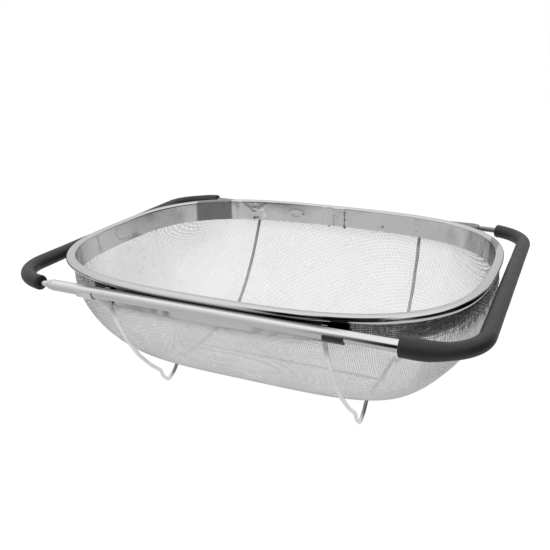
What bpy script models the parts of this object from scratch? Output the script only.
"""Over-the-sink sieve basket with two telescoping U-handles.

Frame: +X along the long side (right), -Y is the front, +Z up.  The origin is
midway between the two grips, on the plane that the four wire feet stand on.
Lengths in the constants are millimetres; the meshes are written in metres.
"""
import math

import bmesh
import bpy
from mathutils import Matrix, Vector

MM = 0.001
GAP = 0.3                      # clearance between neighbouring pieces

# ---- rim: a rounded rectangle (superellipse) of bent strip ------------------
RIM_HALF_X = 168.0             # half length to the band's inner face
RIM_HALF_Y = 131.0             # half width to the band's inner face
RIM_POWER = 2.98               # squareness of the rounded rectangle
RIM_TOP = 120.3                # height of the rolled top above the feet
BAND_H = 20.25                 # height of the vertical band
SHEET = 0.8                    # strip thickness
FLANGE_W = 7.0                 # how far the rolled top stands out
LIP_H = 3.9                    # height of the rolled-down lip
RIM_STATIONS = 80
RIM_SAMPLES = 7200             # fine steps used to measure along the outline

# ---- woven bowl -------------------------------------------------------------
MESH_T = 0.6                   # thickness of the woven cloth
MESH_OUT = SHEET + GAP + MESH_T    # its outer face, measured out from the band's inner face
MESH_TOP = RIM_TOP - 1.7       # upper edge, under the rolled top
BOWL_TOP = 99.6                # where the wall starts to curve in
BOWL_LOW = 16.35               # where the wall would meet the bottom
BOWL_IN_X = 55.9               # how far the wall draws in at the ends
BOWL_DEPTH_POWER_X = 2.15
BOWL_IN_Y = 110.0              # how far the wall draws in at the long sides
BOWL_DEPTH_POWER_Y = 0.90
BOWL_ROUND_Y = 2.82
BOWL_LOW_POWER = 4.0           # squareness of the bottom outline
BOWL_DEPTHS = (0.0, 0.12, 0.27, 0.42, 0.57, 0.71, 0.83, 0.92, 0.97)
BOTTOM_Z = 14.4                # underside of the flat bottom
BOTTOM_IN_X, BOTTOM_IN_Y = 7.0, 9.0    # flat bottom's edge, in from the last wall ring

# ---- side strips and their J-clips ------------------------------------------
PLATE_HALF = 103.5             # half length of each side strip
PLATE_Z0, PLATE_Z1 = 99.9, 118.5
PLATE_IN = MESH_OUT + GAP      # inner face, measured out from the band's inner face
PLATE_OUT = PLATE_IN + SHEET
CLIP_X0, CLIP_X1 = 90.3, 104.0
CLIP_Z0 = 100.6
CLIP_T = 1.0
CLIP_STEPS = 4                 # along X
HOOK_START, HOOK_SWEEP = -90.0, 98.0   # degrees round the tube, from straight below
HOOK_STEPS = 6

# ---- leg wires --------------------------------------------------------------
WIRE_R = 1.5
WIRE_SEGMENTS = 8
WIRE_SHARP = 60.0              # degrees
LEG_X = 85.5                   # leg wires where they meet the side strips
LEG_LEAN = 3.0                 # how much further out each stands at the feet
LEG_LEAN_TOP = 100.0           # height above which they stand upright
LEG_SHIFT = 1.5                # both sit this much towards +X
REAR_SKEW = 3.2                # their rear ends lie this much towards -X
REAR_SKEW_Y = 125.0            # the skew is complete at this distance behind the middle
LEG_TOP = 113.5
FOOT_Y = 58.0                  # the V feet touch the ground here
FLAT_Z0, FLAT_RISE = 99.0, 6.0     # the ends flatten from this height, over this rise
FLAT_WIDER, FLAT_THINNER = 0.9, 0.6    # change of radius across and through the flat
UNDER_Z = BOTTOM_Z - GAP - WIRE_R
BRACE_R = 1.1                  # thin cross wire under both leg wires
BRACE_PAST = WIRE_R + 1.0      # how far it passes each leg wire's middle

# ---- handles ----------------------------------------------------------------
TUBE_R, TUBE_BORE = 4.25, 3.3
MOUTH_R, MOUTH_BORE, MOUTH_L = 3.6, 2.65, 4.0
BORE_TAPER = 1.0               # the bore widens over this length behind the mouth
ROD_R = 2.3
LEG_Y = 138.4                  # side legs of both handles
LEG_Z = 111.4
BEND_TUBE_R = 35.0             # bend next to the tube
BEND_ROD_R = 40.0              # bend at the thin end
BEND_STEPS = 9
RIGHT_BAR_X = 183.2            # middle of the right handle's cross bar
LEFT_BAR_X = 178.2             # the left handle is pushed in slightly further
BAR_LEAN = 5.0                 # the bar's tube end stands out this much further than its rod end
TUBE_REACH = 315.7             # from a cross bar to its own tube's mouth
TRAVEL = 75.0                  # each handle's pull-out
STOP_L, STOP_R = 18.0, 2.95    # guide sleeve on the rod's inner end
STOP_BORE = ROD_R + 0.25
STOP_CHAMFER_X, STOP_CHAMFER_R = 0.6, 0.3
STOP_CLEARANCE = 0.5
ROD_PAST_STOP = 1.6
PLUG_L = 20.0                  # sleeve between the rod's stub and the tube
PLUG_INSET = 0.6               # its outer end, in from the tube's end
PLUG_FIT = 0.28
ROD_PAST_PLUG = 2.0
GRIP_R = 5.7                   # rubber on the thin rod
GRIP_R_TUBE = 6.8              # the same rubber stretched over the tube
GRIP_CHAMFER = 0.7
GRIP_TAPER = 22.0              # length over which the grip thins down to the rod
GRIP_STEP = (0.3, 0.9)         # the bore narrows between these distances past the tube
POINT_SPACING = 1.5            # path points this close to an end are dropped
ROD_SEGMENTS = 12
TUBE_SEGMENTS = 16             # tubes, sleeves and grips


# ---------------------------------------------------------------- scene objects
def clear_scene():
    for obj in list(bpy.data.objects):
        bpy.data.objects.remove(obj, do_unlink=True)
    for mesh in list(bpy.data.meshes):
        bpy.data.meshes.remove(mesh)
    for mat in list(bpy.data.materials):
        bpy.data.materials.remove(mat)


def material(name, colour, roughness, metallic):
    mat = bpy.data.materials.new(name)
    mat.use_nodes = True
    node = mat.node_tree.nodes["Principled BSDF"]
    node.inputs["Base Color"].default_value = (*colour, 1.0)
    node.inputs["Roughness"].default_value = roughness
    node.inputs["Metallic"].default_value = metallic
    return mat


def empty(name, location):
    obj = bpy.data.objects.new(name, None)
    obj.location = Vector(location) * MM
    obj.empty_display_size = 0.02
    bpy.context.scene.collection.objects.link(obj)
    return obj


def mesh_object(name, bm, mat, origin, parent=None):
    """Turn a bmesh in millimetres into a smooth-shaded object with its own origin."""
    to_local = Matrix.Scale(MM, 4) @ Matrix.Translation(-Vector(origin))
    bmesh.ops.transform(bm, matrix=to_local, verts=bm.verts)
    mesh = bpy.data.meshes.new(name)
    bm.to_mesh(mesh)
    bm.free()
    mesh.materials.append(mat)
    mesh.shade_smooth()
    obj = bpy.data.objects.new(name, mesh)
    bpy.context.scene.collection.objects.link(obj)
    place = Vector(origin) * MM
    if parent is not None:
        obj.parent = parent
        place = place - parent.location
    obj.location = place
    return obj


def solid_object(name, bm, mat, origin, parent=None, sharp_angle=35.0):
    """An object from a closed bmesh: normals outwards, edges above sharp_angle kept sharp."""
    bmesh.ops.recalc_face_normals(bm, faces=bm.faces)
    if bm.calc_volume(signed=True) < 0:
        bmesh.ops.reverse_faces(bm, faces=bm.faces)
    obj = mesh_object(name, bm, mat, origin, parent)
    obj.data.set_sharp_from_angle(angle=math.radians(sharp_angle))


# --------------------------------------------------------------- rings and paths
def clamp01(value):
    return min(1.0, max(0.0, value))


def bridged_rings(point_rings, closed_path=False):
    """A bmesh with quads between neighbouring rings of points, and its rings of vertices."""
    bm = bmesh.new()
    rings = [[bm.verts.new(p) for p in ring] for ring in point_rings]
    pairs = list(zip(rings, rings[1:]))
    if closed_path:
        pairs.append((rings[-1], rings[0]))
    for one, two in pairs:
        for j in range(len(one)):
            k = (j + 1) % len(one)
            bm.faces.new((one[j], one[k], two[k], two[j]))
    return bm, rings


def solid_from_rings(point_rings, closed_path=False):
    """A closed body from sections; flat caps at both ends unless it closes on itself."""
    bm, rings = bridged_rings(point_rings, closed_path)
    if not closed_path:
        bm.faces.new(rings[0])
        bm.faces.new(list(reversed(rings[-1])))
    return bm


def round_corner(before, corner, after, radius, steps):
    """Points of a tangent arc that replaces a corner."""
    back, ahead = (before - corner).normalized(), (after - corner).normalized()
    half = back.angle(ahead) / 2.0
    reach = radius / math.tan(half)
    centre = corner + (back + ahead).normalized() * (radius / math.sin(half))
    to_start = corner + back * reach - centre
    to_end = corner + ahead * reach - centre
    total = to_start.angle(to_end)
    out = []
    for k in range(steps + 1):
        f = k / steps
        blend = to_start * math.sin((1 - f) * total) + to_end * math.sin(f * total)
        out.append(centre + blend / math.sin(total))
    return out


def rounded_path(start, corners, end):
    """Path through corners of (point, radius, arc steps); radius 0 keeps the corner."""
    points = [Vector(p) for p in (start, *(corner[0] for corner in corners), end)]
    out = [points[0]]
    for i, (_, radius, steps) in enumerate(corners, start=1):
        if radius:
            out += round_corner(points[i - 1], points[i], points[i + 1], radius, steps)
        else:
            out.append(points[i])
    out.append(points[-1])
    return out


def ring_angles(segments):
    return [2 * math.pi * (k + 0.5) / segments for k in range(segments)]


def sections(path, side_axis, radii, segments):
    """Oval sections square to a flat path; radii gives (across, in plane) for each point."""
    side = Vector(side_axis)
    out = []
    for i, (p, (across, in_plane)) in enumerate(zip(path, radii)):
        tangent = (path[min(i + 1, len(path) - 1)] - path[max(i - 1, 0)]).normalized()
        normal = tangent.cross(side).normalized()
        out.append([p + side * (across * math.sin(w)) + normal * (in_plane * math.cos(w))
                    for w in ring_angles(segments)])
    return out


# ------------------------------------------------------------------ rim outline
def superellipse(half_x, half_y, power, angle):
    c, s = math.cos(angle), math.sin(angle)
    return (half_x * math.copysign(abs(c) ** (2.0 / power), c),
            half_y * math.copysign(abs(s) ** (2.0 / power), s))


def even_angles(count):
    """Parameter values that step evenly along the rim's outline."""
    points = [superellipse(RIM_HALF_X, RIM_HALF_Y, RIM_POWER, 2 * math.pi * k / RIM_SAMPLES)
              for k in range(RIM_SAMPLES + 1)]
    run = [0.0]
    for p, q in zip(points, points[1:]):
        run.append(run[-1] + math.hypot(q[0] - p[0], q[1] - p[1]))
    out, k = [], 0
    for i in range(count):
        want = run[-1] * i / count
        while run[k + 1] < want:
            k += 1
        f = (want - run[k]) / max(run[k + 1] - run[k], 1e-9)
        out.append(2 * math.pi * (k + f) / RIM_SAMPLES)
    return out


ANGLES = even_angles(RIM_STATIONS)


def outline(half_x, half_y, power, z):
    return [Vector((*superellipse(half_x, half_y, power, angle), z)) for angle in ANGLES]


def rim_point(offset, z, angle):
    """A point of the rim's outline moved outwards by offset, at height z."""
    return Vector((*superellipse(RIM_HALF_X + offset, RIM_HALF_Y + offset, RIM_POWER, angle), z))


def rim_sections(profile, angles):
    """The (offset, z) profile repeated at each station of the rim."""
    return [[rim_point(offset, z, angle) for offset, z in profile] for angle in angles]


# ----------------------------------------------------------------------- basket
def make_rim(mat):
    top, low, edge = RIM_TOP, RIM_TOP - BAND_H, FLANGE_W
    lip = top - LIP_H
    # (distance out from the band's inner face, z): up the inside, over, back underneath
    profile = [
        (0.0, low), (0.0, top - 1.4), (0.4, top - 0.45), (1.3, top),
        (edge - 1.4, top), (edge - 0.4, top - 0.5), (edge, top - 1.5), (edge, lip),
        (edge - SHEET, lip), (edge - SHEET, top - 1.6), (edge - 1.5, top - SHEET),
        (1.4, top - SHEET), (SHEET, top - 1.4), (SHEET, low),
    ]
    band = solid_from_rings(rim_sections(profile, ANGLES), closed_path=True)
    solid_object("rim_band", band, mat, origin=(0, 0, low))


def bowl_size(depth):
    """Half length, half width, squareness and height of the bowl at a depth of 0 to 1."""
    draw_x = depth ** BOWL_DEPTH_POWER_X
    draw_y = 1.0 - (1.0 - depth ** BOWL_DEPTH_POWER_Y) ** (1.0 / BOWL_ROUND_Y)
    return (RIM_HALF_X + MESH_OUT - BOWL_IN_X * draw_x,
            RIM_HALF_Y + MESH_OUT - BOWL_IN_Y * draw_y,
            RIM_POWER + (BOWL_LOW_POWER - RIM_POWER) * depth,
            BOWL_TOP - (BOWL_TOP - BOWL_LOW) * depth)


def make_mesh_bowl(mat):
    """The cloth's outer face as an open shell, thickened inwards by a modifier."""
    point_rings = [outline(RIM_HALF_X + MESH_OUT, RIM_HALF_Y + MESH_OUT, RIM_POWER, MESH_TOP)]
    point_rings += [outline(*bowl_size(depth)) for depth in BOWL_DEPTHS]
    half_x, half_y, power, _ = bowl_size(BOWL_DEPTHS[-1])
    point_rings.append(outline(half_x - BOTTOM_IN_X, half_y - BOTTOM_IN_Y, power, BOTTOM_Z))
    bm, rings = bridged_rings(point_rings)
    bm.faces.new(rings[-1])
    bmesh.ops.recalc_face_normals(bm, faces=bm.faces)
    low_face = min(bm.faces, key=lambda face: face.calc_center_median().z)
    if low_face.normal.z > 0:
        bmesh.ops.reverse_faces(bm, faces=bm.faces)
    obj = mesh_object("mesh_basket", bm, mat, origin=(0, 0, BOTTOM_Z))
    wall = obj.modifiers.new("Cloth", "SOLIDIFY")
    wall.thickness = MESH_T * MM
    wall.offset = -1.0
    wall.use_even_offset = True


def side_angles(side):
    """Rim stations along one long side (-1 front, 1 rear), in order of x."""
    keep = []
    for angle in ANGLES:
        x, y = superellipse(RIM_HALF_X, RIM_HALF_Y, RIM_POWER, angle)
        if abs(x) <= PLATE_HALF and side * y > 0:
            keep.append((x, angle))
    return [angle for _, angle in sorted(keep)]


def make_side_plate(word, side, mat):
    profile = [(PLATE_IN, PLATE_Z0), (PLATE_OUT, PLATE_Z0),
               (PLATE_OUT, PLATE_Z1), (PLATE_IN, PLATE_Z1)]
    plate = solid_from_rings(rim_sections(profile, side_angles(side)))
    solid_object(word + "_side_plate", plate, mat,
                 origin=(0, side * (RIM_HALF_Y + PLATE_IN), PLATE_Z0))


def plate_face(x, side):
    """Distance from the middle to the strip's outer face at x."""
    points = [rim_point(PLATE_OUT, 0.0, angle) for angle in side_angles(side)]
    for p, q in zip(points, points[1:]):
        if p.x <= x <= q.x:
            return abs(p.y + (q.y - p.y) * (x - p.x) / (q.x - p.x))
    end = points[-1] if x > 0 else points[0]
    return abs(end.y)


def make_clip(name, x_sign, side, mat):
    """J-clip: foot on the side strip, shelf under the tube, hook round its outside."""
    r_in = TUBE_R + GAP
    r_out = r_in + CLIP_T
    shelf = LEG_Z - r_in

    def hook(radius):
        turns = [math.radians(HOOK_START + HOOK_SWEEP * j / HOOK_STEPS)
                 for j in range(HOOK_STEPS + 1)]
        return [(LEG_Y + radius * math.cos(w), LEG_Z + radius * math.sin(w)) for w in turns]

    stations = []
    for k in range(CLIP_STEPS + 1):
        x = x_sign * (CLIP_X0 + (CLIP_X1 - CLIP_X0) * k / CLIP_STEPS)
        foot = plate_face(x, side) + GAP
        # (distance from the middle, z) of the foot's two faces, upwards
        outer_face = [(foot + CLIP_T, CLIP_Z0), (foot + CLIP_T, shelf - 2.4),
                      (foot + CLIP_T + 0.7, shelf - CLIP_T)]
        inner_face = [(foot, CLIP_Z0), (foot, shelf - 0.6), (foot + 0.6, shelf)]
        loop = outer_face + hook(r_out) + hook(r_in)[::-1] + inner_face[::-1]
        stations.append([Vector((x, side * y, z)) for y, z in loop])
    solid_object(name, solid_from_rings(stations), mat,
                 origin=(x_sign * 0.5 * (CLIP_X0 + CLIP_X1), side * LEG_Y, LEG_Z))


# -------------------------------------------------------------------- leg wires
def leg_x(sign, z):
    lean = LEG_LEAN * clamp01((LEG_LEAN_TOP - z) / LEG_LEAN_TOP)
    return sign * (LEG_X + lean) + LEG_SHIFT


def make_leg(word, sign, mat):
    """One wire: down the front, rounded V foot, under the bottom, V foot, up the rear."""
    along = LEG_X / (RIM_HALF_X + PLATE_OUT)
    plate_y = (RIM_HALF_Y + PLATE_OUT) * (1 - along ** RIM_POWER) ** (1 / RIM_POWER)
    top_y = plate_y + GAP + WIRE_R + 0.6
    # (distance in front of the middle, z, bend radius, arc steps), from the top down
    bends = [
        (top_y, 101.0, 14.0, 3),
        (123.4, 84.0, 60.0, 2),
        (112.5, 62.5, 70.0, 2),
        (98.0, 42.5, 60.0, 2),
        (82.0, 26.0, 60.0, 2),
        (69.4, 15.6, 3.2, 3),
        (65.6, 7.5, 6.0, 2),
        (FOOT_Y, WIRE_R - 0.9, 3.4, 5),
        (48.0, 5.2, 5.0, 2),
        (41.5, UNDER_Z - 0.5, 5.0, 3),
        (33.0, UNDER_Z, 0.0, 1),
    ]
    corners = [((0.0, -y, z), radius, steps) for y, z, radius, steps in bends]
    front = rounded_path((0.0, -top_y, LEG_TOP), corners, (0.0, 0.0, UNDER_Z))
    front = [Vector((leg_x(sign, p.z), p.y, p.z)) for p in front]

    # lift the foot so its tip stands exactly on the ground, fading out from z = 6 to 12
    lowest = min(p.z for p in front)
    rise = WIRE_R * math.cos(math.pi / WIRE_SEGMENTS) - lowest
    front = [Vector((p.x, p.y, p.z + rise * clamp01((12.0 - p.z) / 6.0))) for p in front]

    # the rear half mirrors the front and runs a little towards -X
    rear = [Vector((p.x - REAR_SKEW * clamp01(-p.y / REAR_SKEW_Y), -p.y, p.z))
            for p in reversed(front[:-1])]
    path = front + rear
    radii = []
    for p in path:
        flat = clamp01((p.z - FLAT_Z0) / FLAT_RISE)     # ends pressed flat
        radii.append((WIRE_R + FLAT_WIDER * flat, WIRE_R - FLAT_THINNER * flat))
    wire = solid_from_rings(sections(path, (1, 0, 0), radii, WIRE_SEGMENTS))
    solid_object(word + "_leg_wire", wire, mat, origin=(leg_x(sign, 0), 0, UNDER_Z),
                 sharp_angle=WIRE_SHARP)


def make_brace(mat):
    """Straight wire along X under both leg wires, at the middle of the bottom."""
    z = UNDER_Z - WIRE_R - GAP - BRACE_R
    left, right = leg_x(-1, UNDER_Z), leg_x(1, UNDER_Z)
    stations = (left - BRACE_PAST, left, LEG_SHIFT, right, right + BRACE_PAST)
    path = [Vector((x, 0.0, z)) for x in stations]
    radii = [(BRACE_R, BRACE_R)] * len(path)
    wire = solid_from_rings(sections(path, (0, 1, 0), radii, WIRE_SEGMENTS))
    solid_object("bottom_brace_wire", wire, mat, origin=(0, 0, z), sharp_angle=WIRE_SHARP)


# ---------------------------------------------------------------------- handles
def ended_at(path, x):
    """The path cut off where its last leg, coming back from the far bend, reaches x."""
    n = len(path) - 1
    while path[n - 1].x < x:
        n -= 1
    p, q = path[n - 1], path[n]
    end = p.lerp(q, (p.x - x) / (p.x - q.x))
    return [r for r in path[:n] if (r - end).length > POINT_SPACING] + [end]


class Handle:
    """One U-handle under its own slide empty.

    It is drawn as the right one, with the tube in front; sign -1 turns it half
    round about Z to make the left one.
    """

    def __init__(self, word, sign, bar_x, other_bar_x):
        self.word = word
        self.sign = sign
        self.bar_x = bar_x
        self.near = bar_x + 0.5 * BAR_LEAN      # the bar's corner on the tube side
        self.far = bar_x - 0.5 * BAR_LEAN       # its corner on the rod side
        self.mouth = bar_x - TUBE_REACH
        self.tube_end = self.near - 1.02 * BEND_TUBE_R - 0.2
        shoulder = TUBE_REACH - other_bar_x - MOUTH_L      # inside the other tube's mouth
        self.stop_x = shoulder - 2 * TRAVEL - STOP_CLEARANCE
        self.parent = empty(word + "_handle_slide", (sign * bar_x, 0, LEG_Z))

    def placed(self, points):
        return [Vector((self.sign * p.x, self.sign * p.y, p.z)) for p in points]

    def add(self, part, bm, mat, x, y):
        solid_object(f"{self.word}_{part}", bm, mat,
                     origin=(self.sign * x, self.sign * y, LEG_Z), parent=self.parent)

    def turned(self, stations, y):
        """Hollow piece along X: stations are (x, radius), outside first, then the bore."""
        rings = [self.placed([Vector((x, y + r * math.cos(w), LEG_Z + r * math.sin(w)))
                              for w in ring_angles(TUBE_SEGMENTS)])
                 for x, r in stations]
        return solid_from_rings(rings, closed_path=True)

    def bent_path(self, tube_side_x, rod_side_x):
        """Path from the tube's leg round the cross bar to the rod's leg."""
        corners = [((self.near, -LEG_Y, LEG_Z), BEND_TUBE_R, BEND_STEPS),
                   ((self.far, LEG_Y, LEG_Z), BEND_ROD_R, BEND_STEPS)]
        return rounded_path((tube_side_x, -LEG_Y, LEG_Z), corners, (rod_side_x, LEG_Y, LEG_Z))

    def make_tube(self, mat):
        """Thick tube, its mouth narrowed down on the other handle's rod."""
        mouth, end = self.mouth, self.tube_end
        tube = self.turned([
            (mouth, MOUTH_R), (mouth + MOUTH_L, TUBE_R), (end, TUBE_R),
            (end, TUBE_BORE), (mouth + MOUTH_L + BORE_TAPER, TUBE_BORE),
            (mouth + MOUTH_L, MOUTH_BORE), (mouth, MOUTH_BORE)], -LEG_Y)
        self.add("tube", tube, mat, mouth, -LEG_Y)

    def make_rod(self, mat):
        """Thin rod: stub in the tube, bend, cross bar, bend, long leg."""
        path = self.placed(self.bent_path(self.tube_end - PLUG_L - ROD_PAST_PLUG,
                                          self.stop_x - STOP_L - ROD_PAST_STOP))
        rings = sections(path, (0, 0, 1), [(ROD_R, ROD_R)] * len(path), ROD_SEGMENTS)
        self.add("rod", solid_from_rings(rings), mat, self.bar_x, 0)

    def make_plug(self, mat):
        """Sleeve that joins the rod's stub to the tube, hidden under the grip."""
        start, end = self.tube_end - PLUG_L, self.tube_end - PLUG_INSET
        outer, bore = TUBE_BORE - PLUG_FIT, ROD_R + PLUG_FIT
        plug = self.turned([(start, outer), (end, outer), (end, bore), (start, bore)], -LEG_Y)
        self.add("tube_plug", plug, mat, self.tube_end, -LEG_Y)

    def make_stop(self, mat):
        """Guide sleeve on the inner end of the rod's long leg."""
        start, end = self.stop_x - STOP_L, self.stop_x
        stop = self.turned([
            (start, STOP_R - STOP_CHAMFER_R), (start + STOP_CHAMFER_X, STOP_R), (end, STOP_R),
            (end, STOP_BORE), (start, STOP_BORE)], LEG_Y)
        self.add("rod_stop", stop, mat, end, LEG_Y)

    def grip_path(self, tube_side_x, rod_side_x):
        """Points: start, its chamfer, two at the tube's end, the bends, chamfer, end."""
        path = ended_at(self.bent_path(tube_side_x, self.far - 2 * BEND_ROD_R), rod_side_x)
        start, arc_start = path[:2]
        rest = [p for p in path[1:] if (p - arc_start).length > POINT_SPACING]
        before, last = ([start] + rest)[-2:]
        rest.insert(-1, last + GRIP_CHAMFER * (before - last).normalized())
        step = [Vector((self.tube_end + past, -LEG_Y, LEG_Z)) for past in GRIP_STEP]
        return [start, start + Vector((GRIP_CHAMFER, 0, 0))] + step + rest

    def make_grip(self, tube_side_x, rod_side_x, mat):
        """Rubber sleeve over the bends, wider where it is stretched over the tube."""
        path = self.grip_path(tube_side_x, rod_side_x)
        run = [0.0]
        for p, q in zip(path, path[1:]):
            run.append(run[-1] + (q - p).length)
        outer, inner = [], []
        for i, distance in enumerate(run):
            f = clamp01((distance - run[3]) / GRIP_TAPER)
            f = f * f * (3 - 2 * f)
            radius = GRIP_R_TUBE + (GRIP_R - GRIP_R_TUBE) * f
            if i in (0, len(path) - 1):
                radius -= GRIP_CHAMFER
            bore = (TUBE_R if i <= 2 else ROD_R) + GAP
            outer.append((radius, radius))
            inner.append((bore, bore))
        path = self.placed(path)
        outside = sections(path, (0, 0, 1), outer, TUBE_SEGMENTS)
        inside = sections(path, (0, 0, 1), inner, TUBE_SEGMENTS)
        grip = solid_from_rings(outside + inside[::-1], closed_path=True)
        self.add("grip", grip, mat, self.bar_x, 0)


def make_handle(word, sign, bar_x, other_bar_x, grip_ends, steel, rubber):
    """grip_ends: x of the grip's ends on the tube's leg and on the rod's leg, before turning."""
    handle = Handle(word, sign, bar_x, other_bar_x)
    handle.make_tube(steel)
    handle.make_rod(steel)
    handle.make_plug(steel)
    handle.make_stop(steel)
    handle.make_grip(*grip_ends, rubber)


def centre_between_grips():
    """Shift everything along X so the origin lies midway between the two grips."""
    for obj in bpy.data.objects:
        if obj.parent is None:
            obj.location.x -= 0.5 * (RIGHT_BAR_X - LEFT_BAR_X) * MM


# ------------------------------------------------------------------------ build
def build():
    clear_scene()
    polished = material("polished_steel", colour=(0.78, 0.78, 0.79), roughness=0.12, metallic=1.0)
    woven = material("woven_steel", colour=(0.72, 0.72, 0.73), roughness=0.30, metallic=1.0)
    wire_steel = material("wire_steel", colour=(0.74, 0.74, 0.75), roughness=0.18, metallic=1.0)
    rubber = material("black_rubber", colour=(0.045, 0.045, 0.042), roughness=0.55, metallic=0.0)

    make_rim(polished)
    make_mesh_bowl(woven)
    for side_word, side in (("front", -1), ("rear", 1)):
        make_side_plate(side_word, side, polished)
        for end_word, x_sign in (("left", -1), ("right", 1)):
            make_clip(f"{side_word}_{end_word}_clip", x_sign, side, polished)
    make_leg("left", -1, wire_steel)
    make_leg("right", 1, wire_steel)
    make_brace(wire_steel)
    make_handle("right", 1, RIGHT_BAR_X, LEFT_BAR_X, (138.8, 153.3), polished, rubber)
    make_handle("left", -1, LEFT_BAR_X, RIGHT_BAR_X, (142.8, 139.9), polished, rubber)
    centre_between_grips()


build()
